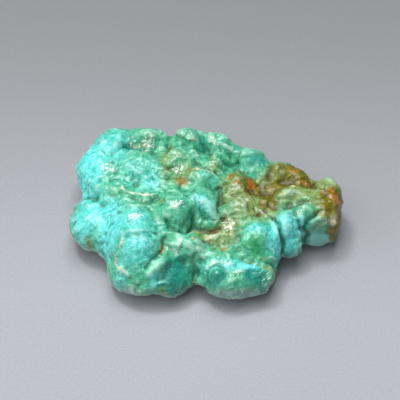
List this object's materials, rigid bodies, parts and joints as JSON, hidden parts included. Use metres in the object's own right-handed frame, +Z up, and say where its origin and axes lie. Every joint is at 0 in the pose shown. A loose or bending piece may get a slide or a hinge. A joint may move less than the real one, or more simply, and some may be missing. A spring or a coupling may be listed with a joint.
{
  "type": "turquoise nugget",
  "caption": "Lobed raw turquoise nugget in one piece, blue-green with brown iron stain at its narrow end, resting on a flat ground underside.",
  "frame": {"origin": "middle of the stone's bounding box in plan, on the surface that its flat underside rests on", "axes": "+X along the stone towards its narrow brown end, +Y from the front lobes to the back, +Z up"},
  "size_m": [0.05, 0.036, 0.013],
  "materials": {
    "turquoise": "waxy tumble polish, blue-green with olive and rust-brown iron stain in the hollows"
  },
  "bodies": {
    "root": {"nugget": "turquoise"}
  },
  "joints": []
}
